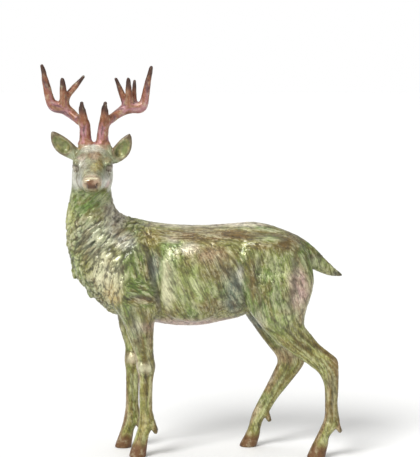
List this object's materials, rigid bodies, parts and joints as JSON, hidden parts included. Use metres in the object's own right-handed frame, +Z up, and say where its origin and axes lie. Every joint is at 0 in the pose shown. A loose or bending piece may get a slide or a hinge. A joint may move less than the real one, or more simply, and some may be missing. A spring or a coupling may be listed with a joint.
{
  "type": "deer figurine",
  "caption": "Standing stag with branched antlers and a thick mane, its head turned to one side, one bronze casting with a green and copper patina.",
  "frame": {"origin": "middle of the figure's bounding box, on the ground under its hooves", "axes": "+Z up; the body lies along X with its chest toward -X and its tail toward +X; the head looks toward -Y, which is the stag's left side"},
  "size_m": [0.384, 0.1434, 0.5003],
  "materials": {
    "patinated_bronze": "green and brown patina over cast bronze, under a glossy lacquer; coppery red antlers, reddish-brown hooves and nose"
  },
  "bodies": {
    "root": {"stag": "patinated_bronze"}
  },
  "joints": []
}
